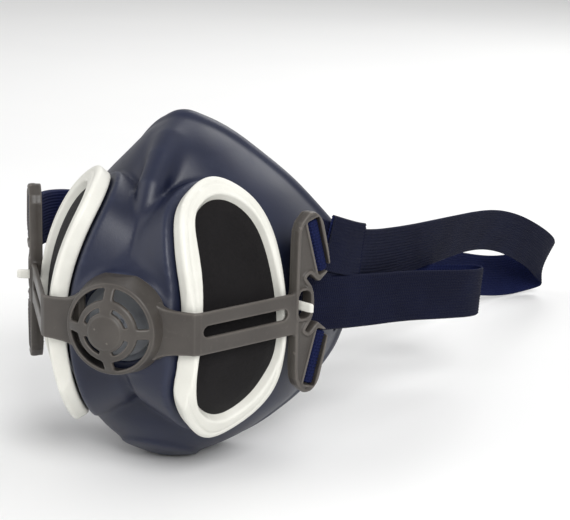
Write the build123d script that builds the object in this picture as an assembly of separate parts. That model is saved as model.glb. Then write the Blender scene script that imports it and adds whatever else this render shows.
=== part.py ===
from build123d import *
import math
import os

# Half-mask respirator, millimetres. Everything is drawn about the middle of the exhale valve's
# rim: X to the wearer's left, Y towards the wearer, Z up. move_to_origin then sets the mask down.

# Exhale valve and its cover
cover_radius = 15.8
cover_wall = 1.4
cover_depth = 8.7
cover_dome = 5.5
spoke_width = 3.5
outer_slot = (10.8, 14.4)
inner_slot = (6.9, 8.4)
inner_slot_angle = 56
boss_radius = 6.0
collar_radius = 17.3
exhale_seat_radius = 13.9
exhale_bore_radius = 10.5
exhale_flap_radius = 11.8
pin_radius = 1.2
pin_clearance = 0.08
flap_thickness = 0.8

# Side frame: the outer face of the straight arm, from the corner where the arm bends back
corner = (28.95, 6.55)
arm_angle = 59.1
arm_length = 43.0
arm_thickness = 1.6
arm_low, arm_high = -8.1, 6.8
arm_slot = (2.6, 39.7)
arm_slot_height = 4.0
arm_bend_radius = 3.6
pivot = (17.0, 5.8)

# Strap bracket at the arm's end, in the arm's plane
bracket_middle = 2.4
bracket_depth = 4.0
bracket_web = 1.3
bar_tilt = 17.0
bar_centre = (9.8, 20.4)
bar_length = 20.6
bar_slot_width = 5.6
bar_radius = 1.1
webbing = 1.5
webbing_width = 20.0

# Curved filter that lies under the arm
filter_crown = -5.1
filter_top = -2.4
filter_radius = 79.7
frame_thickness = 6.1
media_recess = 1.9
media_thickness = 2.6
port_centre = (21.5, -4.0)
spigot_radius = 12.0
spigot_bore = 10.2
spigot_depth = 4.6
gasket_radius = 15.4
gasket_thickness = 1.2
tab_height = 3.4

# Facepiece
wall = 3.0
gap = 0.3
pod_lip = 2.4
floor_level = -62.2
crest_level = 64.7
section_back = 112.0
seat_clearance = 1.8
seal_centre, seal_radius = (14.5, 1.5), 82.6
# height, front of the section, half width, where the section is widest
face_sections = [
    (floor_level, 42.0, 14.0, 57.0),
    (-54.0, 31.0, 27.0, 66.0),
    (-42.0, 18.0, 41.0, 76.0),
    (-26.0, 12.0, 51.0, 86.0),
    (-4.0, 15.0, 57.5, 92.0),
    (18.0, 18.5, 51.0, 88.0),
    (38.0, 25.5, 34.0, 80.0),
    (54.0, 41.0, 17.0, 74.0),
    (crest_level, 59.0, 8.0, 68.0),
]

# Inhale valves, deep in each port
inhale_seat_radius = 12.2
inhale_flap_radius = 10.6
port_depth = 17.0

# Outline of the filter in the arm's plane: along the arm, and the arc up from the crown
filter_outline = [
    (22.0, 58.0), (34.5, 50.5), (40.4, 37.0), (41.8, 14.0), (42.1, -9.0), (40.0, -25.0),
    (31.5, -36.0), (17.0, -42.3), (5.2, -34.0), (-2.4, -21.0), (-2.9, -8.0), (-0.7, 12.0),
    (0.4, 33.0), (6.6, 49.5),
]
media_outline = [
    (23.5, 49.0), (30.5, 45.0), (35.4, 35.5), (37.6, 16.0), (38.6, -8.0), (35.0, -19.0),
    (28.5, -28.0), (18.5, -32.4), (8.2, -26.0), (4.2, -14.0), (5.2, 2.0), (7.4, 20.0),
    (9.6, 40.5), (16.0, 47.6),
]

# Head straps, each a list of points along the middle of the webbing. The second of each pair is
# the doubled end beyond the slider, which goes round the bracket on the right.
crown_route = [
    (57.0, 62.0, 18.5), (60.5, 92.0, 9.5), (64.5, 130.0, 3.0), (69.5, 175.0, -2.5),
    (75.5, 233.0, -9.5), (81.5, 264.0, -17.0), (88.0, 291.0, -28.0), (92.0, 312.0, -38.5),
    (91.0, 325.0, -46.0), (82.0, 327.0, -51.0), (69.0, 310.0, -52.2), (52.0, 264.0, -39.0),
    (34.0, 216.2, -22.5), (8.0, 172.0, -9.5),
]
crown_return = [
    (7.8, 171.7, -9.4), (-12.0, 138.0, 0.5), (-36.0, 114.0, 7.5), (-60.5, 101.5, 12.0),
    (-63.5, 80.0, 16.0), (-57.5, 62.0, 18.5),
]
neck_route = [
    (59.5, 62.0, -1.5), (64.0, 91.0, -6.5), (73.0, 117.0, -10.5), (83.0, 142.0, -15.5),
    (90.5, 164.0, -19.7), (89.0, 177.0, -21.5), (79.0, 181.0, -23.0), (52.0, 168.0, -23.0),
    (10.0, 146.0, -22.0),
]
neck_return = [
    (9.7, 145.8, -22.0), (-16.0, 132.4, -21.4), (-40.0, 118.5, -20.5), (-58.5, 101.5, -19.5),
    (-62.5, 80.0, -18.5), (-57.0, 62.5, -17.5),
]
slider_length = 15.0
slider_wall = 1.6
doubled = 2 * webbing + gap

tau = Vector(math.cos(math.radians(arm_angle)), math.sin(math.radians(arm_angle)), 0)
side = Plane(origin=(*corner, 0), x_dir=tau, z_dir=(tau.Y, -tau.X, 0))


def ring(outer, inner, thickness):
    return Cylinder(outer, thickness) - Cylinder(inner, thickness * 3)


def facing_front(shape, y):
    """Turn a shape drawn along Z so that its top faces the front, centred on depth y."""
    return Pos(0, y, 0) * Rot(90, 0, 0) * shape


def grown(points, grow):
    """Closed outline with each point moved outwards, square to the line through its neighbours."""
    moved = []
    for i, (s, w) in enumerate(points):
        (s0, w0), (s1, w1) = points[i - 1], points[(i + 1) % len(points)]
        along = math.hypot(s1 - s0, w1 - w0)
        moved.append((s - grow * (w1 - w0) / along, w + grow * (s1 - s0) / along))
    return moved


def wedge(points, grow=0.0, deepest=46.0, straight=False):
    """Solid whose sides stand square to the curved filter surface, round a closed outline."""
    faces = []
    for reach in (filter_radius - deepest, filter_radius + 6):
        flat = [(s, filter_crown + reach * math.tan(w / filter_radius)) for s, w in grown(points, grow)]
        at = Pos(0, 0, filter_top - filter_radius + reach)
        edge = Polyline(*flat, close=True) if straight else Spline(*flat, periodic=True)
        faces.append(at * make_face(edge))
    return loft(faces, ruled=True)


def prism(face, low, high):
    """Extrude a face of the arm's plane between two depths, outwards positive."""
    return Pos(0, 0, low) * extrude(face, high - low)


def barrel(depth):
    """The solid under the filter's surface, depth below it, in the arm's frame."""
    radius = filter_radius - depth
    return Pos(20, filter_crown, filter_top - filter_radius) * Rot(0, 90, 0) * Cylinder(radius, 110)


def port(radius, low, high):
    """Round solid on the port's axis between two depths of the arm's frame."""
    return Pos(*port_centre, (low + high) / 2) * Cylinder(radius, high - low)


base = filter_top - frame_thickness
gasket_back = base - 1.9
shelf = gasket_back - gasket_thickness - gap
spigot_end = gasket_back - spigot_depth
seat_front = spigot_end - 0.6
seat_back = seat_front - 2.4
port_end = base - port_depth


def valve_cover():
    sphere_radius = (cover_radius ** 2 + cover_dome ** 2) / (2 * cover_dome)
    centre = sphere_radius - cover_dome
    shell = Pos(0, centre, 0) * (Sphere(sphere_radius) - Sphere(sphere_radius - cover_wall))
    shell &= facing_front(Cylinder(cover_radius, 12), -6 + 0.6)
    skirt = facing_front(ring(cover_radius, cover_radius - cover_wall, cover_depth), cover_depth / 2)
    spokes = facing_front(Box(60, spoke_width, 40) + Box(spoke_width, 60, 40), 0)
    slots = facing_front(ring(outer_slot[1], outer_slot[0], 30), 0) - spokes
    spread = math.tan(math.radians(inner_slot_angle / 2)) * 40
    sector = extrude(make_face(Polyline((0, 0), (40, -spread), (40, spread), close=True)), 15, both=True)
    sectors = Rot(0, 0, 45) * sector + Rot(0, 0, 135) * sector
    sectors += Rot(0, 0, 225) * sector + Rot(0, 0, 315) * sector
    arcs = facing_front(ring(inner_slot[1], inner_slot[0], 30) & sectors, 0)
    boss = facing_front(Cylinder(boss_radius, 0.9), -cover_dome + 0.3)
    return shell + skirt - slots - arcs + boss


def exhale_seat():
    body = facing_front(ring(exhale_seat_radius, exhale_bore_radius, 2.6), 10.6)
    spider = facing_front(Box(22, 2, 1.6) + Box(2, 22, 1.6) + Cylinder(2.6, 1.6), 11.1)
    pin = facing_front(Cylinder(pin_radius, 5.2), 8.2)
    head = facing_front(Cylinder(2.1, 0.8), 5.6)
    return body + spider + pin + head


def exhale_flap():
    middle = 9.3 - 0.12 - flap_thickness / 2
    return facing_front(ring(exhale_flap_radius, pin_radius + pin_clearance, flap_thickness), middle)


def facepiece_solid(inset):
    """Loft of the facepiece's sections, drawn in by inset."""
    faces = []
    for height, front, half_width, widest in face_sections:
        z = min(max(height, floor_level + inset), crest_level - inset)
        reach = widest - front - inset
        arc = EllipticalCenterArc((0, widest), half_width - inset, reach, 180, arc_size=180)
        left, right = arc @ 0, arc @ 1
        sides = Polyline(right, (right.X, section_back), (left.X, section_back), left)
        faces.append(Pos(0, 0, z) * make_face(arc + sides))
    return loft(faces)


def facepiece():
    half = Pos(60, 50, 0) * Box(120, 200, 200)
    pod = wedge(filter_outline, pod_lip, 62, True) & barrel(frame_thickness + gap)
    hollow = wedge(filter_outline, pod_lip - wall, 62, True) & barrel(
        frame_thickness + gap + wall)
    seat = side * (wedge(filter_outline, seat_clearance, 40, True) - barrel(frame_thickness + gap))
    pod, hollow = (side * pod) & half, (side * hollow) & half
    boss = side * (port(spigot_radius + 3.2, port_end, base - 1) & barrel(frame_thickness + gap))
    bores = side * (port(spigot_radius + gap, port_end - 5, base + 2) + port(16.2, shelf, base + 4))
    collar = facing_front(Cylinder(collar_radius, 16), 17)
    body = facepiece_solid(0) + pod + mirror(pod, Plane.YZ) + collar
    body -= facepiece_solid(wall) + hollow + mirror(hollow, Plane.YZ)
    body += facing_front(ring(collar_radius, exhale_bore_radius, 13), 15.5)
    body += boss + mirror(boss, Plane.YZ)
    body -= bores + mirror(bores, Plane.YZ) + seat + mirror(seat, Plane.YZ)
    body -= facing_front(Cylinder(exhale_seat_radius + 0.05, 3), 10.5)
    body -= facing_front(Cylinder(exhale_bore_radius, 30), 20)
    seal = Pos(0, *seal_centre) * Rot(0, 90, 0) * Cylinder(seal_radius, 200)
    return body & seal


def filter_frame():
    shell = barrel(0) - barrel(frame_thickness)
    frame = (wedge(filter_outline) - wedge(media_outline)) & shell
    front = Pos(25, 8.9 - 50, 0) * Box(80, 100, 200)
    tab_at = bracket_middle - 0.4
    root = Pos(43.0, tab_at, -5.15) * Box(4.0, tab_height, 1.5)
    blade = make_face(Polyline((44.2, -5.9), (45.6, -5.9), (46.9, 3.2), (46.9, 5.6), (45.9, 4.0), close=True))
    blade = Pos(0, tab_at, 0) * Rot(90, 0, 0) * (Pos(0, 0, -tab_height / 2) * extrude(blade, tab_height))
    return (side * frame - front) + side * (root + blade)


def filter_media():
    slab = barrel(media_recess) - barrel(media_recess + media_thickness)
    return side * (wedge(media_outline) & slab)


def filter_backplate():
    slab = barrel(media_recess + media_thickness) - barrel(frame_thickness)
    plate = wedge(media_outline) & slab
    pad = port(16.0, gasket_back, base + 1.2) & barrel(media_recess + media_thickness)
    plate += pad + port(spigot_radius, spigot_end, gasket_back)
    return side * (plate - port(spigot_bore, spigot_end - 5, 5))


def filter_gasket():
    return side * (port(gasket_radius, gasket_back - gasket_thickness, gasket_back) - port(
        spigot_radius, -60, 5))


def inhale_seat():
    body = port(inhale_seat_radius, seat_back, seat_front) - port(9.4, -60, 5)
    spider = Box(20, 2, 2.4) + Box(2, 20, 2.4) + Cylinder(2.6, 2.4)
    body += Pos(*port_centre, (seat_back + seat_front) / 2) * spider
    body += port(pin_radius, seat_back - 3.4, seat_back)
    body += port(2.1, seat_back - 4.2, seat_back - 3.4)
    return side * body


def inhale_flap():
    front = seat_back - 0.12
    disc = port(inhale_flap_radius, front - flap_thickness, front)
    return side * (disc - port(pin_radius + pin_clearance, -60, 5))


def harness_arm():
    """Flexible arm: from the flex line beside the valve, round the corner and back along the filter."""
    inner = arm_thickness / 2
    end = Vector(*corner, 0) + tau * arm_length
    normal = Vector(tau.Y, -tau.X, 0)
    bend = Vector(*corner, 0) + Vector(-0.559, 0.829, 0) * (inner / math.cos(math.radians(25.9)))
    path = FilletPolyline(Vector(*pivot, 0), bend, end - normal * inner, radius=arm_bend_radius)
    plan = make_face(offset(path, inner, side=Side.BOTH))
    blade = Pos(0, 0, arm_low) * extrude(plan, arm_high - arm_low)
    slot = SlotOverall(arm_slot[1] - arm_slot[0], arm_slot_height)
    middle = (arm_slot[0] + arm_slot[1]) / 2
    beyond = Pos(arm_length + 10, 0, 0) * Box(20, 30, 12)
    return blade - side * (Pos(middle, -0.1, 0) * extrude(slot, 6, both=True) + beyond)


def half_bracket():
    """Upper half of the bracket's outline, from its middle line, in the arm's plane."""
    end = arm_length
    points = [
        (end, 0), (end, 28.0), (end + 4.9, 32.9), (end + 8.1, 32.7), (end + 11.6, 29.0),
        (end + 15.6, 12.2), (end + 10.4, 7.2), (end + 6.2, 10.9), (end + 4.2, 9.6),
        (end + 7.2, 6.0), (end + 8.2, 0),
    ]
    return make_face(Polyline(*points, close=True))


def strap_bracket():
    upper = half_bracket()
    outline = upper + mirror(upper, Plane.XZ)
    window = Pos(arm_length + 3.7, 0) * RectangleRounded(5.6, 9.8, 2.2)
    plate = extrude(outline, -bracket_depth) - prism(window, -10, 5)
    plate -= prism(offset(outline, -bracket_web) - offset(window, bracket_web), -bracket_depth, -1.6)
    for sign in (1, -1):
        spot = Pos(arm_length + bar_centre[0], sign * bar_centre[1]) * Rot(0, 0, sign * bar_tilt)
        plate -= spot * Box(bar_slot_width, bar_length, 20)
        frame = Box(bar_slot_width + 1.6, bar_length + 1.6, bracket_depth)
        frame -= Box(bar_slot_width, bar_length, 20)
        frame &= prism(spot.inverse() * outline, -10, 10)
        plate += spot * Pos(0, 0, -bracket_depth / 2) * frame
        plate += spot * Pos(0, 0, -2) * Rot(90, 0, 0) * Cylinder(bar_radius, bar_length + 1.2)
    return side * (Pos(0, bracket_middle, 0) * plate)


def strap_loop(sign):
    """Webbing wrapped once round one bar of the bracket, with both ends leaving towards the back."""
    inner = bar_radius + gap
    outer = inner + webbing / 2
    wrap = Cylinder(outer, webbing_width) - Cylinder(inner, webbing_width)
    wrap = Rot(90, 0, 0) * wrap
    spot = Pos(arm_length + bar_centre[0], bracket_middle + sign * bar_centre[1], -2)
    return side * (spot * Rot(0, 0, sign * bar_tilt) * wrap)


def bend_radii(points):
    """Arcs as large as the two runs at each corner allow."""
    runs = [b - a for a, b in zip(points, points[1:])]
    radii = []
    for before, after in zip(runs, runs[1:]):
        turn = math.radians(before.get_angle(after))
        radii.append(0.45 * min(before.length, after.length) / math.tan(turn / 2))
    return radii


def strap(name, route, thickness):
    """Webbing standing on its edge along a route."""
    points = [Vector(*point) for point in route]
    radii = bend_radii(points)
    path = FilletPolyline(*points, radius=radii)
    ahead = path % 0
    across = Vector(-ahead.Y, ahead.X, 0).normalized() * (thickness / 2)
    up = Vector(0, 0, webbing_width / 2)
    start = path @ 0
    section = make_face(Polyline(
        start - across - up, start + across - up, start + across + up, start - across + up, close=True))
    guide = Wire((Pos(0, 0, webbing_width) * path).edges())
    solid = Solid.sweep_multi([section.face()], Wire(path.edges()), binormal=guide)
    share = solid.volume / (thickness * webbing_width * path.length)
    print(name, "length", round(path.length, 1), "radii", [round(r, 1) for r in radii],
          "volume share", round(share, 3))
    return solid


def slider(route):
    """Sleeve that the webbing runs through, with a bar on each face."""
    start, ahead = Vector(*route[0]), Vector(*route[1]) - Vector(*route[0])
    flat = Vector(ahead.X, ahead.Y, 0)
    at = Plane(origin=start, x_dir=flat, z_dir=(0, 0, 1))
    opening = doubled + 2 * gap
    body = Box(slider_length, opening + 2 * slider_wall, webbing_width + 4.4)
    body -= Box(slider_length * 2, opening, webbing_width + 1.2)
    slope = math.degrees(math.atan2(ahead.Z, flat.length))
    for side_sign in (1, -1):
        hole = Pos(0, side_sign * (opening + slider_wall) / 2, 0) * Box(3.4, slider_wall * 2, webbing_width)
        body -= Pos(3.9, 0, 0) * hole + Pos(-3.9, 0, 0) * hole
    return at * Rot(0, -slope, 0) * body


def pair(name, solid):
    return {name + "_left": solid, name + "_right": mirror(solid, Plane.YZ)}


nodes = {
    "facepiece": facepiece(),
    "valve_cover": valve_cover(),
    "exhale_valve_seat": exhale_seat(),
    "exhale_valve_flap": exhale_flap(),
    "crown_strap": strap("crown_strap", crown_route, webbing),
    "crown_strap_return": strap("crown_strap_return", crown_return, doubled),
    "crown_slider": slider(crown_return),
    "neck_strap": strap("neck_strap", neck_route, webbing),
    "neck_strap_return": strap("neck_strap_return", neck_return, doubled),
    "neck_slider": slider(neck_return),
}
nodes |= pair("harness_arm", harness_arm())
nodes |= pair("strap_bracket", strap_bracket())
nodes |= pair("crown_loop", strap_loop(1))
nodes |= pair("neck_loop", strap_loop(-1))
nodes |= pair("filter_frame", filter_frame())
nodes |= pair("filter_media", filter_media())
nodes |= pair("filter_backplate", filter_backplate())
nodes |= pair("filter_gasket", filter_gasket())
nodes |= pair("inhale_valve_seat", inhale_seat())
nodes |= pair("inhale_valve_flap", inhale_flap())

depth_middle = (nodes["valve_cover"].bounding_box().min.Y + nodes["facepiece"].bounding_box().max.Y) / 2
move_to_origin = Pos(0, -depth_middle, -floor_level)
print("valve centre is at", 0, -depth_middle, -floor_level)

os.makedirs("parts", exist_ok=True)
for name, solid in nodes.items():
    export_step(move_to_origin * solid, f"parts/{name}.step")
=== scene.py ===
import math
import bpy
import numpy as np
import openvdb
from mathutils import Matrix, Vector


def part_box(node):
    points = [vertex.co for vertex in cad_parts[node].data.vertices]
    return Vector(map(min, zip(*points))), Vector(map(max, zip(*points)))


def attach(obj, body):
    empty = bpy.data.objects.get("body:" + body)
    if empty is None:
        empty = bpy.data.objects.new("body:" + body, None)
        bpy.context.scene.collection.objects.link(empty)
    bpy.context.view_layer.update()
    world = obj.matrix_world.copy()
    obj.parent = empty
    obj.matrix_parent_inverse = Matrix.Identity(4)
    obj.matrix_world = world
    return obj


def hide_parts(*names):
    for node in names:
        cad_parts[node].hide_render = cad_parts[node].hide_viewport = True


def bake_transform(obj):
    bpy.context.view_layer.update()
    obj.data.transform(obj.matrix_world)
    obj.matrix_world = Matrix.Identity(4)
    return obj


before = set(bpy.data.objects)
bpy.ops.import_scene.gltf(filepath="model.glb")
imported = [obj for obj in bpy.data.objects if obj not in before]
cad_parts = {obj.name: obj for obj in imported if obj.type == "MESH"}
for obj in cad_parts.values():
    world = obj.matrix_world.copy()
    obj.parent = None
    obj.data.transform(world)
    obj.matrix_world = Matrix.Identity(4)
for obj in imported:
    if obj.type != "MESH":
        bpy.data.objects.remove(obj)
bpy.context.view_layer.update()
scene = bpy.context.scene
mm = 0.001

# The drawing's own origin is the middle of the exhale valve's rim, in millimetres
coverLow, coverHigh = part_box("valve_cover")
coverDome = 5.5
valveMiddle = Vector((
    (coverLow.x + coverHigh.x) / 2, coverLow.y + coverDome * mm, (coverLow.z + coverHigh.z) / 2))
origin = np.array(valveMiddle)


def place(points):
    return origin + np.asarray(points, float) * mm


def placed(x, y, z):
    return Vector(place((x, y, z)))


# Camera
cameraValues = {"turn": 18.28, "rise": 14.72, "roll": 1.49, "distance": 600.0,
                "target": (44.512, 50.0, 16.787), "lens": 107.65}


def makeCamera(v):
    turn, rise, roll = (math.radians(v[k]) for k in ("turn", "rise", "roll"))
    back = Vector((math.sin(turn) * math.cos(rise), -math.cos(turn) * math.cos(rise), math.sin(rise)))
    level = Vector((math.cos(turn), math.sin(turn), 0))
    upright = back.cross(level)
    right = level * math.cos(roll) + upright * math.sin(roll)
    up = upright * math.cos(roll) - level * math.sin(roll)
    camera = bpy.data.objects.new("camera", bpy.data.cameras.new("camera"))
    scene.collection.objects.link(camera)
    camera.data.lens = v["lens"]
    camera.data.sensor_width = 36
    camera.data.clip_start = 0.01
    turned = Matrix((right, up, back)).transposed().to_4x4()
    camera.matrix_world = Matrix.Translation(placed(*v["target"]) + back * v["distance"] * mm) @ turned
    scene.camera = camera


makeCamera(cameraValues)
print("camera set")


# Materials
class Socket:
    def __init__(self, tree, socket):
        self.tree = tree
        self.socket = socket

    def maths(self, operation, other):
        return self.tree.node("ShaderNodeMath", {"operation": operation}, {0: self, 1: other}, 0)

    def __add__(self, other):
        return self.maths("ADD", other)

    __radd__ = __add__

    def __mul__(self, other):
        return self.maths("MULTIPLY", other)

    __rmul__ = __mul__


class Finish:
    def __init__(self, name, **fixed):
        self.material = bpy.data.materials.new(name)
        self.material.use_nodes = True
        self.nodes = self.material.node_tree.nodes
        self.links = self.material.node_tree.links
        self.shader = self.nodes["Principled BSDF"]
        for socketName, value in fixed.items():
            self.shader.inputs[socketName.replace("_", " ")].default_value = value

    def node(self, kind, settings, values, output):
        made = self.nodes.new(kind)
        for key, value in settings.items():
            setattr(made, key, value)
        for key, value in values.items():
            if isinstance(value, Socket):
                self.links.new(value.socket, made.inputs[key])
            else:
                made.inputs[key].default_value = value
        return Socket(self, made.outputs[output])

    def where(self, kind="Object"):
        return self.node("ShaderNodeTexCoord", {}, {}, kind)

    def noise(self, scale, detail=3.0, rough=0.5, vector=None, distortion=0.0):
        return self.node("ShaderNodeTexNoise", {}, {
            "Vector": vector or self.where(), "Scale": scale, "Detail": detail,
            "Roughness": rough, "Distortion": distortion}, "Fac")

    def spread(self, value, low, high, toLow=0.0, toHigh=1.0):
        return self.node("ShaderNodeMapRange", {"clamp": True}, {
            "Value": value, "From Min": low, "From Max": high, "To Min": toLow, "To Max": toHigh}, "Result")

    def blend(self, amount, first, second):
        values = {0: amount}
        values[6] = first if isinstance(first, Socket) else (*first, 1)
        values[7] = second if isinstance(second, Socket) else (*second, 1)
        return self.node("ShaderNodeMix", {"data_type": "RGBA"}, values, 2)

    # Painted highlight: a mask that is strongest on sharp convex edges, taken from the mesh's pointiness
    def edges(self):
        geometry = self.node("ShaderNodeNewGeometry", {}, {}, "Pointiness")
        return self.spread(geometry, 0.505, 0.56)

    def paint(self, **inputs):
        for key, value in inputs.items():
            self.links.new(value.socket, self.shader.inputs[key.replace("_", " ")])

    def bump(self, height, strength, distance):
        normal = self.node("ShaderNodeBump", {}, {
            "Height": height, "Strength": strength, "Distance": distance}, "Normal")
        self.links.new(normal.socket, self.shader.inputs["Normal"])


def linear(r, g, b):
    return tuple((c / 255 / 12.92) if c <= 10 else ((c / 255 + 0.055) / 1.055) ** 2.4 for c in (r, g, b))


def faceRubber():
    f = Finish("faceRubber", IOR=1.48, Specular_IOR_Level=0.42)
    cloud = f.noise(26, 4, 0.55)
    dust = f.spread(f.noise(140, 5, 0.7), 0.55, 0.8)
    body = f.blend(f.spread(cloud, 0.3, 0.7), linear(17, 22, 42), linear(25, 31, 54))
    body = f.blend(dust * 0.15, body, linear(62, 68, 88))
    # Painted highlight: the rubber's sharp edges blend towards a lighter blue
    body = f.blend(f.edges() * 0.3, body, linear(56, 63, 86))
    f.paint(Base_Color=body, Roughness=f.spread(cloud, 0.25, 0.75, 0.36, 0.5) + dust * 0.12)
    grain = f.noise(1900, 2, 0.5) * 0.6 + f.noise(420, 3, 0.5) * 0.4
    f.bump(grain, 0.16, 0.0003)
    return f.material


def mouldedPlastic(name, dark, light, fleckAndEdgeHighlight, roughLow, roughHigh, grainStrength):
    f = Finish(name, IOR=1.46, Specular_IOR_Level=0.4)
    cloud = f.noise(48, 4, 0.6)
    fleck = f.spread(f.noise(620, 4, 0.65), 0.58, 0.78)
    body = f.blend(f.spread(cloud, 0.3, 0.7), dark, light)
    body = f.blend(fleck * 0.18, body, fleckAndEdgeHighlight)
    # Painted highlight: sharp edges blend to the same lighter colour as the flecks
    body = f.blend(f.edges() * 0.5, body, fleckAndEdgeHighlight)
    f.paint(Base_Color=body, Roughness=f.spread(cloud, 0.3, 0.7, roughLow, roughHigh) + fleck * 0.1)
    f.bump(f.noise(2400, 2, 0.5) * 0.7 + f.noise(700, 3, 0.55) * 0.3, grainStrength, 0.0002)
    return f.material


def filterFelt(name):
    f = Finish(name, Specular_IOR_Level=0.12, Sheen_Weight=0.05, Sheen_Roughness=0.5)
    fibres = f.noise(900, 5, 0.75, distortion=1.4)
    cloud = f.noise(60, 3, 0.5)
    body = f.blend(f.spread(fibres, 0.35, 0.7), linear(12, 11, 12), linear(26, 24, 25))
    body = f.blend(f.spread(cloud, 0.4, 0.8) * 0.3, body, linear(32, 30, 31))
    f.paint(Base_Color=body, Roughness=f.spread(fibres, 0.3, 0.7, 0.78, 0.95))
    f.bump(fibres * 0.7 + f.noise(260, 3, 0.6) * 0.3, 0.5, 0.0006)
    return f.material


def valveRubber(name, dark, light):
    f = Finish(name, Specular_IOR_Level=0.45, IOR=1.45)
    cloud = f.noise(180, 3, 0.5)
    f.paint(Base_Color=f.blend(f.spread(cloud, 0.3, 0.7), dark, light),
            Roughness=f.spread(cloud, 0.3, 0.7, 0.3, 0.46))
    f.bump(f.noise(1500, 2, 0.5), 0.12, 0.0002)
    return f.material


def strapWeb(name, dark, light, thread):
    f = Finish(name, Specular_IOR_Level=0.08)
    flat = f.where("UV")
    across = f.node("ShaderNodeSeparateXYZ", {}, {0: flat}, 0)
    along = f.node("ShaderNodeSeparateXYZ", {}, {0: flat}, 1)
    pick = (along * 5200 + (across * 17 * 3.1416).maths("SINE", 0) * 1.3).maths("SINE", 0)
    weave = f.spread(pick, -1, 1)
    fuzz = f.noise(1600, 4, 0.7)
    cloud = f.noise(55, 3, 0.5)
    body = f.blend(weave * 0.35 + fuzz * 0.5, dark, light)
    body = f.blend(f.spread(fuzz, 0.6, 0.8) * 0.35, body, thread)
    body = f.blend(f.spread(cloud, 0.45, 0.8) * 0.2, body, thread)
    f.paint(Base_Color=body, Roughness=f.spread(fuzz, 0.3, 0.7, 0.62, 0.85))
    f.bump(weave * 0.6 + fuzz * 0.4, 0.55, 0.00035)
    return f.material


def floorPaint():
    f = Finish("floorPaint", Specular_IOR_Level=0.2)
    cloud = f.noise(3, 3, 0.5)
    f.paint(Base_Color=f.blend(cloud, linear(236, 236, 236), linear(243, 243, 242)),
            Roughness=f.spread(cloud, 0.3, 0.7, 0.7, 0.85))
    f.bump(f.noise(260, 2, 0.5), 0.02, 0.0005)
    return f.material


# The third colour of each moulded plastic colours its random flecks and also the painted highlight on its
# edges
finishes = {
    "facepiece": faceRubber(),
    "valve_housing": mouldedPlastic(
        "housingPlastic", linear(57, 53, 50), linear(72, 68, 64), linear(116, 110, 104), 0.34, 0.48, 0.22),
    "filter_frame": mouldedPlastic(
        "framePlastic", linear(206, 205, 197), linear(218, 217, 209), linear(230, 229, 222),
        0.34, 0.46, 0.14),
    "filter_media": filterFelt("filterFelt"),
    "filter_backplate": mouldedPlastic(
        "backplatePlastic", linear(60, 63, 60), linear(78, 80, 77), linear(110, 112, 108), 0.4, 0.55, 0.2),
    "gasket": valveRubber("gasketRubber", linear(28, 28, 30), linear(42, 42, 45)),
    "valve_seat": mouldedPlastic(
        "seatPlastic", linear(94, 99, 108), linear(114, 119, 128), linear(150, 154, 160), 0.35, 0.5, 0.15),
    "valve_flap": valveRubber("flapRubber", linear(130, 133, 138), linear(152, 155, 160)),
    "webbing": strapWeb("strapWeb", linear(12, 17, 44), linear(24, 31, 70), linear(38, 47, 92)),
    "slider": mouldedPlastic(
        "sliderPlastic", linear(84, 84, 86), linear(104, 104, 106), linear(150, 150, 152), 0.34, 0.48, 0.2),
}
# Painted shade: a darker copy of the webbing finish for the straps' inner faces
shadedInnerWeb = strapWeb("strapWebInnerShade", linear(8, 10, 26), linear(16, 20, 44), linear(28, 34, 62))
print("finishes made")


def finishPiece(piece, slotName, body, *nodes):
    if not piece.data.materials:
        piece.data.materials.append(finishes[slotName])
    if nodes:
        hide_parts(*nodes)
    if body:
        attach(piece, body)


# Meshes
def makeMesh(name, points, faces):
    mesh = bpy.data.meshes.new(name)
    mesh.from_pydata([tuple(p) for p in points], [], [tuple(int(i) for i in f) for f in faces])
    mesh.update()
    mesh.polygons.foreach_set("use_smooth", [True] * len(mesh.polygons))
    piece = bpy.data.objects.new(name, mesh)
    scene.collection.objects.link(piece)
    return piece


# Joins of distance fields, rounded over k millimetres
def smoothUnion(a, b, k):
    h = np.clip(0.5 + 0.5 * (b - a) / k, 0, 1)
    return b * (1 - h) + a * h - k * h * (1 - h)


def smoothBoth(a, b, k):
    return -smoothUnion(-a, -b, k)


def smoothCut(a, b, k):
    return -smoothUnion(-a, b, k)


def gridOver(low, high, step):
    spans = [np.arange(a, b + step, step, dtype=np.float32) for a, b in zip(low, high)]
    return np.meshgrid(*spans, indexing="ij")


# The surface where a distance field is zero, as a mesh
def skin(name, field, low, step, toDrawing=None, mirrored=False):
    volume = openvdb.FloatGrid(background=4.0)
    volume.copyFromArray(np.clip(field, -4 * step, 4 * step).astype(np.float32))
    points, _, quads = volume.convertToPolygons(0.0, 0.0)
    points = np.asarray(low) + points * step
    if toDrawing:
        points = toDrawing(points)
    faces = quads
    if mirrored:
        points = points * (-1, 1, 1)
        faces = quads[:, ::-1]
    return makeMesh(name, place(points), faces)


# A smooth closed line through the points
def rounded(points, parts=8):
    line = np.asarray(points, float)
    before, ahead, beyond = np.roll(line, 1, 0), np.roll(line, -1, 0), np.roll(line, -2, 0)
    made = []
    for t in np.arange(parts) / parts:
        made.append(0.5 * (2 * line + (ahead - before) * t
                           + (2 * before - 5 * line + 4 * ahead - beyond) * t ** 2
                           + (3 * line - before - 3 * ahead + beyond) * t ** 3))
    return np.stack(made, 1).reshape(-1, 2)


def cornersCut(points, share=0.12):
    line = np.asarray(points, float)
    ahead = np.roll(line, -1, 0)
    nearer, farther = line * (1 - share) + ahead * share, line * share + ahead * (1 - share)
    return np.stack([nearer, farther], 1).reshape(-1, 2)


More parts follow.
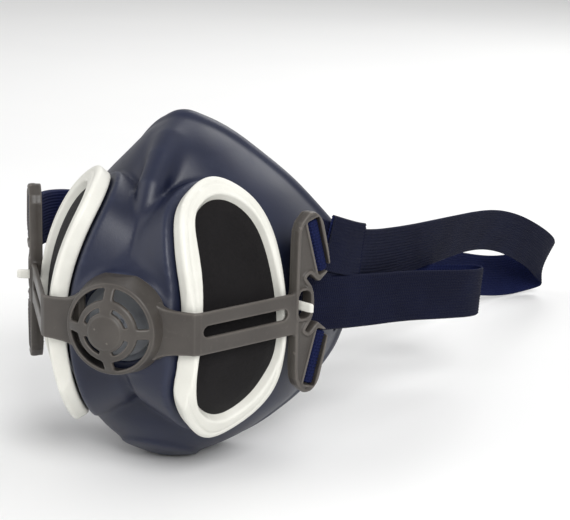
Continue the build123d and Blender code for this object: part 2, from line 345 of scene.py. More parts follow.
def outlineDistance(points, x, y):
    best = np.full(x.shape, 1e9, np.float32)
    inside = np.zeros(x.shape, bool)
    for (ax, ay), (bx, by) in zip(points, np.roll(points, -1, 0)):
        dx, dy = bx - ax, by - ay
        t = np.clip(((x - ax) * dx + (y - ay) * dy) / (dx * dx + dy * dy + 1e-9), 0, 1)
        best = np.minimum(best, (x - ax - t * dx) ** 2 + (y - ay - t * dy) ** 2)
        if ay != by:
            inside ^= ((ay > y) != (by > y)) & (x < ax + (y - ay) * dx / dy)
    return np.where(inside, -1, 1) * np.sqrt(best)


# The distance to an outline, worked out once over a flat grid
class OutlineMap:
    def __init__(self, points, reach=30.0, step=0.4, soften=0):
        points = np.asarray(points, float)
        self.low = points.min(0) - reach
        self.step = step
        high = points.max(0) + reach
        x, y = np.meshgrid(*(np.arange(a, b, step) for a, b in zip(self.low, high)), indexing="ij")
        self.values = outlineDistance(points, x, y).astype(np.float32)
        for _ in range(soften):
            self.values[1:-1] = (self.values[:-2] + 2 * self.values[1:-1] + self.values[2:]) / 4
            self.values[:, 1:-1] = (self.values[:, :-2] + 2 * self.values[:, 1:-1] + self.values[:, 2:]) / 4

    def at(self, x, y):
        u = np.clip((x - self.low[0]) / self.step, 0, self.values.shape[0] - 1.001)
        v = np.clip((y - self.low[1]) / self.step, 0, self.values.shape[1] - 1.001)
        i, j = u.astype(int), v.astype(int)
        fu, fv = u - i, v - j
        values = self.values
        return ((values[i, j] * (1 - fu) + values[i + 1, j] * fu) * (1 - fv)
                + (values[i, j + 1] * (1 - fu) + values[i + 1, j + 1] * fu) * fv)


# The side frame's own axes: along the arm, up, outwards
sideValues = {"corner": (28.95, 6.55), "angle": 59.1, "armLength": 43.0, "bracketMiddle": 2.4,
              "crown": -5.1, "top": -2.4, "radius": 79.7, "frameThickness": 6.1, "portAt": (21.5, -4.0)}
sideAngle = math.radians(sideValues["angle"])
along = np.array([math.cos(sideAngle), math.sin(sideAngle), 0])
outward = np.array([along[1], -along[0], 0])
cornerAt = np.array([*sideValues["corner"], 0])


def fromSide(points):
    s, h, n = points[:, 0:1], points[:, 1:2], points[:, 2:3]
    return cornerAt + s * along + n * outward + h * np.array([0, 0, 1])


def toSide(x, y, z):
    dx, dy = x - cornerAt[0], y - cornerAt[1]
    return dx * along[0] + dy * along[1], z, dx * outward[0] + dy * outward[1]


# Height round the filter's curved face, and depth below it
def underFilter(h, n):
    up, out = h - sideValues["crown"], n - (sideValues["top"] - sideValues["radius"])
    return sideValues["radius"] * np.arctan2(up, out), sideValues["radius"] - np.hypot(up, out)


filterOutline = rounded([
    (22.0, 58.0), (34.5, 50.5), (40.4, 37.0), (41.8, 14.0), (42.1, -9.0), (40.0, -25.0),
    (31.5, -36.0), (17.0, -42.3), (5.2, -34.0), (-2.4, -21.0), (-2.9, -8.0), (-0.7, 12.0),
    (0.4, 33.0), (6.6, 49.5)])
mediaOutline = rounded([
    (23.5, 49.0), (30.5, 45.0), (35.4, 35.5), (37.6, 16.0), (38.6, -8.0), (35.0, -19.0),
    (28.5, -28.0), (18.5, -32.4), (8.2, -26.0), (4.2, -14.0), (5.2, 2.0), (7.4, 20.0),
    (9.6, 40.5), (16.0, 47.6)])
filterMap = OutlineMap(filterOutline, soften=60)
mediaMap = OutlineMap(mediaOutline, soften=40)

# Straps: the routes of the CAD webbing, and smooth lines along them
strapValues = {"width": 20.0, "thickness": 1.5, "ribs": 17, "ribDepth": 0.34, "doubled": 3.2}
crownRoute = [
    (51.6, 54.5, 22.5), (56.0, 61.5, 19.2), (60.5, 92.0, 9.5), (64.5, 130.0, 3.0), (69.5, 175.0, -2.5),
    (75.5, 233.0, -9.5), (81.5, 264.0, -17.0), (88.0, 291.0, -28.0), (92.0, 312.0, -38.5),
    (91.0, 325.0, -46.0), (82.0, 327.0, -51.0), (69.0, 310.0, -52.2), (52.0, 264.0, -39.0),
    (34.0, 216.2, -22.5), (8.0, 172.0, -9.5),
]
crownReturn = [
    (7.8, 171.7, -9.4), (-12.0, 138.0, 0.5), (-36.0, 114.0, 7.5), (-60.5, 101.5, 12.0),
    (-63.5, 80.0, 16.0), (-57.5, 62.0, 18.5),
]
neckRoute = [
    (49.5, 51.5, 1.0), (55.0, 60.5, -0.7), (64.0, 91.0, -6.5), (73.0, 117.0, -10.5), (83.0, 142.0, -15.5),
    (90.5, 164.0, -19.7), (89.0, 177.0, -21.5), (79.0, 181.0, -23.0), (52.0, 168.0, -23.0),
    (10.0, 146.0, -22.0),
]
neckReturn = [
    (9.7, 145.8, -22.0), (-16.0, 132.4, -21.4), (-40.0, 118.5, -20.5), (-58.5, 101.5, -19.5),
    (-62.5, 80.0, -18.5), (-57.0, 62.5, -17.5),
]


def smoothLine(name, route):
    curve = bpy.data.curves.new(name, "CURVE")
    curve.dimensions = "3D"
    curve.resolution_u = 24
    spline = curve.splines.new("NURBS")
    spline.points.add(len(route) - 1)
    for point, spot in zip(spline.points, route):
        point.co = (*placed(*spot), 1)
    spline.order_u = 3
    spline.use_endpoint_u = True
    holder = bpy.data.objects.new(name, curve)
    scene.collection.objects.link(holder)
    bpy.context.view_layer.update()
    mesh = bpy.data.meshes.new_from_object(holder)
    points = np.array([v.co for v in mesh.vertices])
    bpy.data.objects.remove(holder)
    bpy.data.meshes.remove(mesh)
    return points


def evenly(points, gap=1.6 * mm):
    steps = np.r_[0, np.cumsum(np.linalg.norm(np.diff(points, axis=0), axis=1))]
    wanted = np.linspace(0, steps[-1], int(steps[-1] / gap) + 1)
    return np.stack([np.interp(wanted, steps, points[:, i]) for i in range(3)], 1), wanted


def webSection(width, thickness, ribs, depth):
    half = width / 2
    count = ribs * 4
    x = np.linspace(-half, half, count + 1)
    edge = np.clip((half - np.abs(x)) / 0.9, 0, 1) ** 0.5
    ripple = depth * (0.5 - 0.5 * np.cos((x + half) / width * ribs * 2 * math.pi))
    height = (thickness / 2 - depth) * (0.45 + 0.55 * edge) + ripple * edge
    outer = np.stack([x, height], 1)
    inner = np.stack([x[::-1], -height[::-1]], 1)
    return np.concatenate([outer, inner])


# A ribbed band along a line; lean holds pairs of a share of its length and degrees
def webBand(name, line, lean=None, thickness=strapValues["thickness"]):
    points, lengths = evenly(line)
    v = strapValues
    section = webSection(v["width"], thickness, v["ribs"], v["ribDepth"]) * mm
    ahead = np.gradient(points, axis=0)
    ahead /= np.linalg.norm(ahead, axis=1)[:, None]
    share = lengths / lengths[-1]
    leaning = np.radians(np.interp(share, *zip(*lean))) if lean else np.zeros(len(share))
    level = np.cross(ahead, (0, 0, 1.0))
    level /= np.linalg.norm(level, axis=1)[:, None]
    upright = np.cross(level, ahead)
    wide = upright * np.cos(leaning)[:, None] + level * np.sin(leaning)[:, None]
    thick = np.cross(wide, ahead)
    count = len(section)
    ring = points[:, None] + section[None, :, 0:1] * wide[:, None] + section[None, :, 1:2] * thick[:, None]
    vertices = ring.reshape(-1, 3)
    faces = []
    for i in range(len(points) - 1):
        for j in range(count):
            k = (j + 1) % count
            faces.append((i * count + j, i * count + k, (i + 1) * count + k, (i + 1) * count + j))
    half = count // 2
    for end in (0, (len(points) - 1) * count):
        for j in range(half - 1):
            quad = (end + j, end + j + 1, end + count - 2 - j, end + count - 1 - j)
            faces.append(quad if end == 0 else quad[::-1])
    band = makeMesh(name, vertices, faces)
    uv = band.data.uv_layers.new(name="flat")
    acrossAt = np.tile(section[:, 0] / (v["width"] * mm) + 0.5, len(points))
    alongAt = np.repeat(lengths, count)
    corners = np.zeros(len(band.data.loops), int)
    band.data.loops.foreach_get("vertex_index", corners)
    uv.data.foreach_set("uv", np.stack([acrossAt[corners], alongAt[corners]], 1).ravel())
    # Painted shade: the inner half of each band's faces takes the darker webbing copy
    inner = np.zeros(len(band.data.polygons), int)
    for i in range(len(points) - 1):
        inner[i * count + half: (i + 1) * count] = 1
    band.data.materials.append(finishes["webbing"])
    band.data.materials.append(shadedInnerWeb)
    band.data.polygons.foreach_set("material_index", inner)
    return band, points


lines = {}
strapPieces = {}
tailValues = {"start": 7.0, "end": 37.0, "away": 1.75, "raised": 2.2}
crownLean = [(0, 0), (0.15, 0), (0.35, 16), (0.55, 26), (0.66, 20), (0.8, 6), (1, 0)]
neckLean = [(0, 0), (0.5, 4), (0.7, 3), (1, 0)]
for strapName, bandName, route, lean, thickness in (
        ("crown_strap", "crownStrap", crownRoute, crownLean, strapValues["thickness"]),
        ("crown_strap_return", "crownStrapReturn", crownReturn, None, strapValues["doubled"]),
        ("neck_strap", "neckStrap", neckRoute, neckLean, strapValues["thickness"]),
        ("neck_strap_return", "neckStrapReturn", neckReturn, None, strapValues["doubled"])):
    line = smoothLine(strapName + "Line", route)
    strapPieces[strapName], lines[strapName] = webBand(bandName, line, lean, thickness)
    finishPiece(strapPieces[strapName], "webbing", None, strapName)
tailAt = np.cumsum(np.r_[0, np.linalg.norm(np.diff(lines["crown_strap"], axis=0), axis=1)]) / mm
tailLine = lines["crown_strap"][(tailAt > tailValues["start"]) & (tailAt < tailValues["end"])]
tailLine = tailLine + np.array([tailValues["away"], 0, tailValues["raised"]]) * mm
tailPiece, _ = webBand("crownTail", tailLine)
finishPiece(tailPiece, "webbing", None)
print("straps made")


# Facepiece
faceValues = {
    "wall": 3.0, "podLip": 2.4, "podTop": 6.4, "seat": 1.2, "podFlare": 0.34, "podDeep": 14.0,
    "podSoft": 1.8, "edgeSoft": 1.2, "floorSoft": 3.0, "crestSoft": (1.2, 12.0), "soleSoft": 0.5,
    "blendPod": 2.6, "blendCollar": 5.0, "blendRidge": 5.0, "blendBead": 2.0,
    "collar": (17.3, 9.0, 43.0), "collarTaper": 0.12,
    "throat": (17.0, 9.0, 22.0), "exhaleSeat": (14.0, 12.0), "exhaleBore": (10.5, 5.0, 47.0),
    "portBoss": (15.2, -25.5, -9.5), "portBore": (12.3, -30.5, -6.5), "gasketSeat": (16.2, -11.9, -4.5),
    "floor": -62.2, "crest": 64.7, "sealAt": (14.5, 1.5), "sealRadius": 82.6, "bead": 2.5, "step": 0.9,
    "sections": [
        (-62.2, 46.0, 9.0, 57.0), (-54.0, 34.0, 27.0, 66.0), (-42.0, 25.5, 41.0, 76.0),
        (-26.0, 26.0, 51.0, 86.0), (-4.0, 29.0, 57.5, 92.0), (18.0, 33.0, 51.0, 88.0),
        (38.0, 38.0, 34.0, 80.0), (54.0, 46.5, 17.0, 74.0), (64.7, 60.0, 8.0, 68.0)],
    "ridge": [(64.0, 57.0), (53.0, 54.5), (44.0, 50.0), (34.5, 42.0), (29.0, 33.0), (25.5, 24.0),
              (19.5, 17.0)],
    "ridgeRadius": 4.8, "seam": (24.0, -48.0, 50.0, -61.0), "seamBead": (0.7, 1.6, -20.0, 9.0),
    "cheekHole": (85.0, -16.5, 1.6, 30.0, 0.6), "softened": 12,
    "low": (-64.0, 3.0, -65.0), "high": (64.0, 104.0, 68.0),
}


# Front, half width and widest place of the cup at a height
def sectionAt(z):
    v = np.array(faceValues["sections"])
    heights = np.linspace(v[0, 0], v[-1, 0], 200)
    values = [np.interp(heights, v[:, 0], v[:, i]) for i in (1, 2, 3)]
    half = faceValues["softened"]
    kernel = np.hanning(2 * half + 1)
    kernel /= kernel.sum()
    smoothed = []
    for value in values:
        before, after = 2 * value[0] - value[half:0:-1], 2 * value[-1] - value[-2:-2 - half:-1]
        padded = np.r_[before, value, after]
        smoothed.append(np.convolve(padded, kernel, "valid"))
    return [np.interp(z, heights, value) for value in smoothed]


def between(value, low, high):
    return np.maximum(value - high, low - value)


def faceField():
    v = faceValues
    low = np.array(v["low"])
    x, y, z = gridOver(low, v["high"], v["step"])
    wide = np.abs(x)
    front, half, widest = (a.astype(np.float32) for a in sectionAt(z))
    forward = np.minimum(y - widest, 0)
    level = np.sqrt((x / half) ** 2 + (forward / (widest - front)) ** 2) - 1
    slopes = np.gradient(level, v["step"])
    cup = level / np.maximum(np.sqrt(slopes[0] ** 2 + slopes[1] ** 2 + slopes[2] ** 2), 0.004)
    lowered, soft = v["crestSoft"]
    cup = smoothBoth(cup, z - v["crest"] + lowered, soft)
    cup = smoothBoth(cup, v["floor"] - z, v["floorSoft"])
    ridge = np.full(x.shape, 1e3, np.float32)
    for (y0, z0), (y1, z1) in zip(v["ridge"], v["ridge"][1:]):
        t = np.clip(((y - y0) * (y1 - y0) + (z - z0) * (z1 - z0)) / ((y1 - y0) ** 2 + (z1 - z0) ** 2), 0, 1)
        gone = np.sqrt(x ** 2 + (y - y0 - t * (y1 - y0)) ** 2 + (z - z0 - t * (z1 - z0)) ** 2)
        ridge = np.minimum(ridge, gone - v["ridgeRadius"])
    s, h, n = toSide(wide, y, z)
    w, depth = underFilter(h, n)
    rim = filterMap.at(s, w) - v["podLip"]
    flared = rim - v["podFlare"] * np.clip(depth - v["podTop"], 0, v["podDeep"])
    pod = smoothBoth(flared, v["podTop"] - depth, v["podSoft"])
    valveReach = np.hypot(x, z)
    collarRadius, collarFront, collarBack = v["collar"]
    taper = v["collarTaper"] * np.maximum(y - collarFront, 0)
    collar = smoothBoth(valveReach - collarRadius - taper, between(y, collarFront, collarBack), v["edgeSoft"])
    outer = smoothUnion(cup, ridge, v["blendRidge"])
    outer = smoothUnion(outer, pod, v["blendPod"])
    outer = smoothUnion(outer, collar, v["blendCollar"])
    seat = np.maximum(rim + v["podLip"] - v["seat"], depth - v["podTop"])
    outer = smoothCut(outer, seat, v["edgeSoft"])
    y0, z0, y1, z1 = v["seam"]
    run = math.hypot(y1 - y0, z1 - z0)
    crease = ((z - z0) * (y1 - y0) - (y - y0) * (z1 - z0)) / run
    radius, soft, below, away = v["seamBead"]
    bead = np.hypot(outer, crease) - radius
    body = smoothUnion(outer, np.where(z < below, bead, away), soft)
    shell = np.maximum(body, -(outer + v["wall"]))
    portS, portH = sideValues["portAt"]
    portReach = np.hypot(s - portS, h - portH)
    radius, deep, shallow = v["portBoss"]
    boss = np.maximum(np.maximum(portReach - radius, between(n, deep, shallow)), v["podTop"] - depth)
    shell = np.minimum(shell, boss)
    for radius, deep, shallow in (v["portBore"], v["gasketSeat"]):
        shell = np.maximum(shell, -np.maximum(portReach - radius, between(n, deep, shallow)))
    radius, front, back = v["throat"]
    shell = np.minimum(shell, np.maximum(valveReach - radius, between(y, front, back)))
    radius, back = v["exhaleSeat"]
    shell = np.maximum(shell, -np.maximum(valveReach - radius, y - back))
    radius, front, back = v["exhaleBore"]
    shell = np.maximum(shell, -np.maximum(valveReach - radius, between(y, front, back)))
    seal = np.hypot(y - v["sealAt"][0], z - v["sealAt"][1]) - v["sealRadius"]
    edge = np.hypot(outer + v["wall"] / 2, seal + v["bead"]) - v["bead"]
    shell = smoothUnion(smoothBoth(shell, seal, v["edgeSoft"]), edge, v["blendBead"])
    holeY, holeZ, radius, inside, soft = v["cheekHole"]
    hole = np.hypot(y - holeY, z - holeZ) - radius
    shell = smoothCut(shell, np.maximum(hole, inside - wide), soft)
    return smoothBoth(shell, v["floor"] - z, v["soleSoft"]), low


field, low = faceField()
facePiece = skin("facePiece", field, low, faceValues["step"])
finishPiece(facePiece, "facepiece", "mask", "facepiece")
print("facepiece made", len(facePiece.data.vertices))

# Exhale valve cover, domed grille with four spokes
coverValues = {
    "radius": 15.8, "wall": 1.7, "depth": 8.7, "dome": 5.5, "crownBack": 1.2, "crownSoft": 0.8,
    "outerSlot": (10.8, 14.4, 0.9, 0.7), "innerSlot": (6.9, 8.4, 0.6, 0.45), "slotDepth": 3.0,
    "slotTurn": 28.0, "spokeHalf": 1.75, "boss": 6.0, "bossProud": 0.35, "bossDeep": 1.2, "bossSoft": 0.5,
    "flare": 2.1, "flareBend": 0.8, "skirtHalf": 0.75, "skirtFront": -0.2, "skirtSoft": 0.9, "away": 5.0,
    "low": (-17.0, -6.6, -17.0), "high": (17.0, 10.0, 17.0), "step": 0.25}


def coverField():
    v = coverValues
    low = np.array(v["low"])
    x, y, z = gridOver(low, v["high"], v["step"])
    reach = np.hypot(x, z)
    ball = (v["radius"] ** 2 + v["dome"] ** 2) / (2 * v["dome"])
    dome = np.sqrt(x ** 2 + z ** 2 + (y - ball + v["dome"]) ** 2) - ball
    crown = np.maximum(dome, -(dome + v["wall"]))
    shell = smoothBoth(crown, np.maximum(reach - v["radius"], y - v["crownBack"]), v["crownSoft"])
    flare = v["flare"] * np.clip(y / v["depth"], 0, 1) ** v["flareBend"]
    ring = np.abs(reach - v["radius"] - flare + v["skirtHalf"]) - v["skirtHalf"]
    skirt = np.maximum(ring, between(y, v["skirtFront"], v["depth"]))
    body = smoothUnion(shell, skirt, v["skirtSoft"])
    spokes = np.minimum(np.abs(x), np.abs(z)) - v["spokeHalf"]
    inner, outer, corner, fillet = v["outerSlot"]
    slots = smoothBoth(between(reach, inner, outer), -spokes, corner)
    body = smoothCut(body, np.where(y < v["slotDepth"], slots, v["away"]), fillet)
    turn = np.degrees(np.arctan2(z, x)) % 90 - 45
    arc = np.radians(np.abs(turn) - v["slotTurn"]) * reach
    inner, outer, corner, fillet = v["innerSlot"]
    arcs = smoothBoth(between(reach, inner, outer), arc, corner)
    body = smoothCut(body, np.where(y < v["slotDepth"], arcs, v["away"]), fillet)
    boss = smoothBoth(reach - v["boss"], dome - v["bossProud"], v["bossSoft"])
    body = smoothUnion(body, np.maximum(boss, -(dome + v["bossDeep"])), v["bossSoft"])
    return body, low


field, low = coverField()
coverPiece = skin("valveCover", field, low, coverValues["step"])
finishPiece(coverPiece, "valve_housing", "mask", "valve_cover")
print("valve cover made", len(coverPiece.data.vertices))

# Harness arms with their strap brackets
armValues = {
    "path": [(-8.5, -12.7), (-6.78, -9.87), (-1.6, -3.2), (-0.3, -1.5), (1.6, -0.8), (43.0, -0.8)],
    "middle": -0.65, "halfHeight": 7.45, "halfThick": 0.8, "slot": (2.6, 39.7), "slotHalf": 2.0,
    "window": (46.7, 5.6, 9.8, 2.2), "barAt": (9.8, 20.4), "barTilt": 17.0, "barLength": 20.6,
    "slotWidth": 5.6, "barRadius": 1.1, "rim": 1.3, "rimDepth": 4.0, "rimProud": 0.7, "step": 0.36,
    "root": (-12.0, 2.6, 0.9, 2.6), "armSoft": 0.7, "slotMiddle": -0.1, "slotSoft": 0.5, "holeSoft": 0.4,
    "plateAt": -1.0, "plateHalf": 0.75, "plateSoft": 0.6, "rimSoft": 0.5, "rimBlend": 0.8, "armBlend": 1.0,
    "low": (-10.0, -34.5, -15.0), "high": (61.0, 38.5, 2.6),
    "bracket": [(0, 0), (0, 28), (4.9, 32.9), (8.1, 32.7), (11.6, 29), (15.6, 12.2), (10.4, 7.2),
                (6.2, 10.9), (4.2, 9.6), (7.2, 6), (8.2, 0)]}


def boxDistance(x, y, halfX, halfY, corner=0.0):
    outX, outY = np.abs(x) - halfX + corner, np.abs(y) - halfY + corner
    return np.hypot(np.maximum(outX, 0), np.maximum(outY, 0)) + np.minimum(np.maximum(outX, outY), 0) - corner


def armField():
    v = armValues
    low = np.array(v["low"])
    s, h, n = gridOver(low, v["high"], v["step"])
    strip = np.full(s.shape, 1e3, np.float32)
    for (s0, n0), (s1, n1) in zip(v["path"], v["path"][1:]):
        t = np.clip(((s - s0) * (s1 - s0) + (n - n0) * (n1 - n0)) / ((s1 - s0) ** 2 + (n1 - n0) ** 2), 0, 1)
        strip = np.minimum(strip, np.hypot(s - s0 - t * (s1 - s0), n - n0 - t * (n1 - n0)))
    rootAt, fade, thicker, higher = v["root"]
    root = np.exp(-np.maximum(n - rootAt, 0) / fade)
    height = np.abs(h - v["middle"]) - v["halfHeight"] - higher * root
    arm = smoothBoth(strip - v["halfThick"] - thicker * root, height, v["armSoft"])
    middle, reach = sum(v["slot"]) / 2, (v["slot"][1] - v["slot"][0]) / 2 - v["slotHalf"]
    beyond = np.maximum(np.abs(s - middle) - reach, 0)
    slot = np.hypot(beyond, h - v["slotMiddle"]) - v["slotHalf"]
    arm = smoothCut(arm, slot, v["slotSoft"])
    half = [(a + sideValues["armLength"], b) for a, b in v["bracket"]]
    whole = np.array(half[1:] + [(a, -b) for a, b in half[:0:-1]])
    high = h - sideValues["bracketMiddle"]
    shape = OutlineMap(cornersCut(cornersCut(whole), 0.25), 20.0, 0.25).at(s, high)
    windowAt, windowWide, windowHigh, windowCorner = v["window"]
    window = boxDistance(s - windowAt, high, windowWide / 2, windowHigh / 2, windowCorner)
    plate = smoothBoth(shape, np.abs(n - v["plateAt"]) - v["plateHalf"], v["plateSoft"])
    walls = np.abs(n + v["rimDepth"] / 2 - v["rimProud"] / 2) - (v["rimDepth"] + v["rimProud"]) / 2
    rims = smoothBoth(np.abs(shape + v["rim"] / 2) - v["rim"] / 2, walls, v["rimSoft"])
    windowRim = smoothBoth(np.abs(window - 0.6) - 0.6, np.maximum(walls, shape), v["rimSoft"])
    body = smoothUnion(smoothUnion(plate, rims, v["rimBlend"]), windowRim, v["rimBlend"])
    body = smoothUnion(arm, body, v["armBlend"])
    body = smoothCut(body, window, v["holeSoft"])
    for sign in (1, -1):
        tilt = math.radians(sign * v["barTilt"])
        ds = s - sideValues["armLength"] - v["barAt"][0]
        dh = high - sign * v["barAt"][1]
        across = ds * math.cos(tilt) + dh * math.sin(tilt)
        up = dh * math.cos(tilt) - ds * math.sin(tilt)
        hole = boxDistance(across, up, v["slotWidth"] / 2, v["barLength"] / 2, 0.6)
        rim = smoothBoth(np.abs(hole - 0.5) - 0.55, np.maximum(walls, shape), v["rimSoft"])
        body = smoothUnion(body, rim, v["rimSoft"])
        body = smoothCut(body, hole, v["holeSoft"])
        barEnd = np.abs(up) - v["barLength"] / 2 - 0.6
        bar = np.maximum(np.hypot(across, n + v["rimDepth"] / 2) - v["barRadius"], barEnd)
        body = smoothUnion(body, bar, v["holeSoft"])
    return body, low


field, low = armField()
for side, sign in (("left", 1), ("right", -1)):
    armPiece = skin("harnessArm" + side.title(), field, low, armValues["step"], fromSide, sign < 0)
    finishPiece(armPiece, "valve_housing", None, "harness_arm_" + side, "strap_bracket_" + side)
    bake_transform(armPiece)
print("arms made", len(armPiece.data.vertices))

# Filters: white frame with its pull tab, and the felt in it
filterValues = {"edge": 1.7, "opened": 0.9, "innerEdge": 0.8, "stepAt": 2.9, "stepDepth": 0.3,
                "recess": 1.9, "felt": 2.6,
                "draft": 0.35, "splay": 0.6, "soft": 0.5, "tabRoot": (43.0, -5.15, 2.2, 0.8, 0.2),
                "frameLow": (-5.0, -51.0, -30.0), "frameHigh": (49.5, 60.0, 7.0),
                "feltLow": (0.0, -40.0, -22.0), "feltHigh": (42.0, 50.0, -3.0),
                "tabHeight": 3.4, "tabAt": 2.0, "frontCut": 8.9, "step": 0.42,
                "tab": [(44.2, -5.9), (45.7, -5.9), (46.9, 3.2), (46.9, 5.6), (45.9, 4.4)]}


def frameField():
    v = filterValues
    low = np.array(v["frameLow"])
    s, h, n = gridOver(low, v["frameHigh"], v["step"])
    w, depth = underFilter(h, n)
    rim, inner = filterMap.at(s, w), mediaMap.at(s, w) - v["opened"]
    slab = np.maximum(-depth, depth - sideValues["frameThickness"])
    body = smoothBoth(rim, slab, v["edge"])
    drawnIn = v["draft"] * np.maximum(depth - v["recess"], 0)
    splayed = v["splay"] * np.clip(1 - depth / v["recess"], 0, 1)
    body = smoothCut(body, inner + drawnIn - splayed, v["innerEdge"])
    body = smoothCut(body, np.hypot(rim + v["stepAt"], depth) - v["stepDepth"], v["soft"])
    front = cornerAt[1] + s * along[1] + n * outward[1]
    body = smoothBoth(body, v["frontCut"] - front, v["soft"])
    blade = OutlineMap(np.array(v["tab"]), 8.0, 0.2).at(s, n)
    tabSides = np.abs(h - v["tabAt"]) - v["tabHeight"] / 2
    tab = smoothBoth(blade, tabSides, v["soft"])
    rootS, rootN, halfS, halfN, corner = v["tabRoot"]
    root = np.maximum(boxDistance(s - rootS, n - rootN, halfS, halfN, corner), tabSides)
    return smoothUnion(body, smoothUnion(tab, root, 0.4), v["soft"]), low


def feltField():
    v = filterValues
    low = np.array(v["feltLow"])
    s, h, n = gridOver(low, v["feltHigh"], v["step"])
    w, depth = underFilter(h, n)
    inner = mediaMap.at(s, w) - v["opened"] + 0.1
    crown = 0.5 * np.clip(-inner / 5.0, 0, 1)
    slab = np.abs(depth - v["recess"] - v["felt"] / 2 - 0.5 + crown) - v["felt"] / 2 + 0.5
    return smoothBoth(inner, slab, 0.8), low


frameSkin, frameLow = frameField()
feltSkin, feltLow = feltField()
for side, sign in (("left", 1), ("right", -1)):
    step = filterValues["step"]
    framePiece = skin("filterFrame" + side.title(), frameSkin, frameLow, step, fromSide, sign < 0)
    finishPiece(framePiece, "filter_frame", "filter_" + side, "filter_frame_" + side)
    feltPiece = skin("filterFelt" + side.title(), feltSkin, feltLow, step, fromSide, sign < 0)
    finishPiece(feltPiece, "filter_media", "filter_" + side, "filter_media_" + side)
print("filters made", len(framePiece.data.vertices))

# Webbing wrapped on the bracket bars
loopValues = {"inner": 1.3, "outer": 2.65, "ribDepth": 0.4, "turns": 40, "narrower": 0.4, "edge": 0.8}


def loopPiece(name, sign, mirrored):
    v, a = loopValues, armValues
    tilt = math.radians(sign * a["barTilt"])
    barS = sideValues["armLength"] + a["barAt"][0]
    barH = sideValues["bracketMiddle"] + sign * a["barAt"][1]
    width, ribs = strapValues["width"] - v["narrower"], strapValues["ribs"]
    count = ribs * 6
    across = np.linspace(-width / 2, width / 2, count + 1)
    edge = np.clip((width / 2 - np.abs(across)) / v["edge"], 0, 1) ** 0.5
    ripple = v["ribDepth"] * np.abs(np.sin((across / width + 0.5) * ribs * math.pi)) * edge
    radius = v["inner"] + (v["outer"] - v["inner"] - v["ribDepth"]) * (0.3 + 0.7 * edge) + ripple
    points, faces = [], []
    inside = [[width / 2, v["inner"]], [-width / 2, v["inner"]]]
    profile = np.concatenate([np.stack([across, radius], 1), inside])
    total = len(profile)
    for i in range(v["turns"]):
        angle = 2 * math.pi * i / v["turns"]
        for up, reach in profile:
            ds, dn = reach * math.cos(angle), reach * math.sin(angle)
            points.append((
                barS + ds * math.cos(tilt) - up * math.sin(tilt),
                barH + ds * math.sin(tilt) + up * math.cos(tilt),
                dn - a["rimDepth"] / 2))
        for j in range(total):
            k, ahead = (j + 1) % total, (i + 1) % v["turns"]
            faces.append((i * total + j, ahead * total + j, ahead * total + k, i * total + k))
    points = fromSide(np.array(points))
    if mirrored:
        points = points * (-1, 1, 1)
        faces = [f[::-1] for f in faces]
    piece = makeMesh(name, place(points), faces)
    uv = piece.data.uv_layers.new(name="flat")
    corners = np.zeros(len(piece.data.loops), int)
    piece.data.loops.foreach_get("vertex_index", corners)
    flat = np.stack([np.tile(profile[:, 0] / width + 0.5, v["turns"]),
                     np.repeat(np.arange(v["turns"]) * 0.0004, total)], 1)
    uv.data.foreach_set("uv", flat[corners].ravel())
    return piece


for side, mirrored in (("left", False), ("right", True)):
    for kind, sign in (("crown", 1), ("neck", -1)):
        loop = loopPiece(kind + "Loop" + side.title(), sign, mirrored)
        finishPiece(loop, "webbing", "arm_" + side, f"{kind}_loop_{side}")
print("loops made")


# Sliders
sliderValues = {"length": 15.0, "opening": 3.9, "wall": 1.6, "width": 24.4, "inside": 21.2, "slot": 3.4,
                "slotAt": 3.9, "slotHalf": 10.0, "corner": 2.0, "soft": 1.2, "step": 0.3,
                "grooves": (1.2, 0.2, 1.6, 0.25, 0.15),
                "low": (-8.5, -4.6, -13.5), "high": (8.5, 4.6, 13.5)}


def sliderPiece(name, line):
    v = sliderValues
    low = np.array(v["low"])
    x, y, z = gridOver(low, v["high"], v["step"])
    halfY = v["opening"] / 2 + v["wall"]
    plan = boxDistance(x, z, v["length"] / 2, v["width"] / 2, v["corner"])
    body = smoothBoth(plan, np.abs(y) - halfY, v["soft"])
    tunnel = boxDistance(y, z, v["opening"] / 2, v["inside"] / 2, 0.3)
    body = smoothCut(body, tunnel, 0.5)
    for at in (v["slotAt"], -v["slotAt"]):
        body = smoothCut(body, boxDistance(x - at, z, v["slot"] / 2, v["slotHalf"], 0.8), 0.7)
    pitch, half, reach, deep, soft = v["grooves"]
    grooves = np.abs((x + pitch / 2) % pitch - pitch / 2) - half
    grooves = np.maximum(np.maximum(grooves, np.abs(x) - reach), halfY - deep - np.abs(y))
    body = smoothCut(body, grooves, soft)
    ahead = line[min(4, len(line) - 1)] - line[0]
    ahead /= np.linalg.norm(ahead)
    level = np.cross((0, 0, 1.0), ahead)
    level /= np.linalg.norm(level)
    upright = np.cross(ahead, level)
    middle = (line[0] - origin) / mm

    def turned(points):
        return middle + points[:, 0:1] * ahead + points[:, 1:2] * level + points[:, 2:3] * upright
    return skin(name, body, low, v["step"], turned)


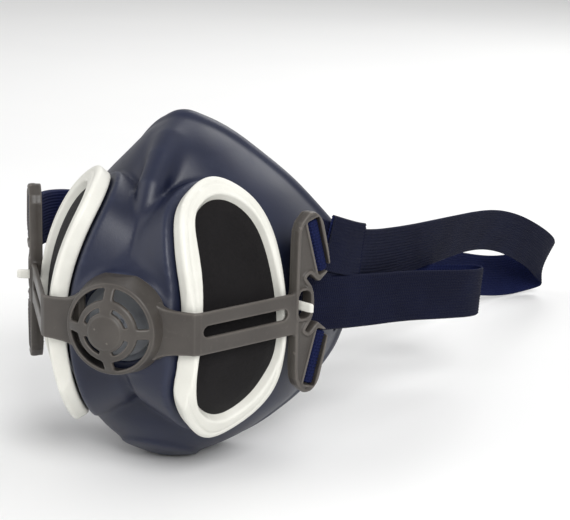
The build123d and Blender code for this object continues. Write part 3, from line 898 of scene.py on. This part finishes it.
for kind in ("crown", "neck"):
    piece = sliderPiece(kind + "Slider", lines[kind + "_strap_return"])
    finishPiece(piece, "slider", kind + "_slider", kind + "_slider")
    strapPieces[kind + "_slider"] = piece
print("sliders made")

# The straps, the crown tail and the strap returns have their placement baked into their meshes
for kind, drop, still in (("crown", 18.5, 150), ("neck", -1.5, 126)):
    strap = strapPieces[kind + "_strap"]
    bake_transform(strap)
    if kind == "crown":
        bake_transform(tailPiece)
    back = strapPieces[kind + "_strap_return"]
    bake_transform(back)
for kind in ("crown", "neck"):
    for name, pieces in ((kind + "_strap", []), (kind + "_strap_return", [strapPieces[kind + "_slider"]])):
        path = lines[name] if not pieces else lines[name][::-1]

# Kept nodes take the finish of their slot
for nodeName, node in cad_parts.items():
    if node.hide_render:
        continue
    slotName = next(s for key, s in (
        ("backplate", "filter_backplate"), ("gasket", "gasket"), ("valve_seat", "valve_seat"),
        ("valve_flap", "valve_flap")) if key in nodeName)
    node.data.materials.clear()
    node.data.materials.append(finishes[slotName])

# Floor and light
stageValues = {"floorSize": 6.0, "world": 0.6, "aim": (30, 60, 0), "lamps": [
    ("key", (0.7, -0.8, 0.85), 0.7, 13.0), ("fill", (-0.9, -0.5, 0.6), 1.1, 4.0),
    ("back", (0.2, 1.1, 0.9), 1.0, 7.0)]}
half = stageValues["floorSize"] / 2
floorCorners = [(-half, -half, 0), (half, -half, 0), (half, half, 0), (-half, half, 0)]
floor = makeMesh("floor", floorCorners, [(0, 1, 2, 3)])
floor.data.materials.append(floorPaint())
world = bpy.data.worlds.new("studio")
world.use_nodes = True
world.node_tree.nodes["Background"].inputs["Color"].default_value = (1, 1, 1, 1)
world.node_tree.nodes["Background"].inputs["Strength"].default_value = stageValues["world"]
scene.world = world
aim = placed(*stageValues["aim"])
for name, spot, size, power in stageValues["lamps"]:
    lamp = bpy.data.lights.new(name, "AREA")
    lamp.shape = "DISK"
    lamp.size = size
    lamp.energy = power
    holder = bpy.data.objects.new(name, lamp)
    holder.location = spot
    holder.rotation_euler = (aim - Vector(spot)).to_track_quat("-Z", "Y").to_euler()
    scene.collection.objects.link(holder)
scene.view_settings.view_transform = "Standard"
print("stage set")
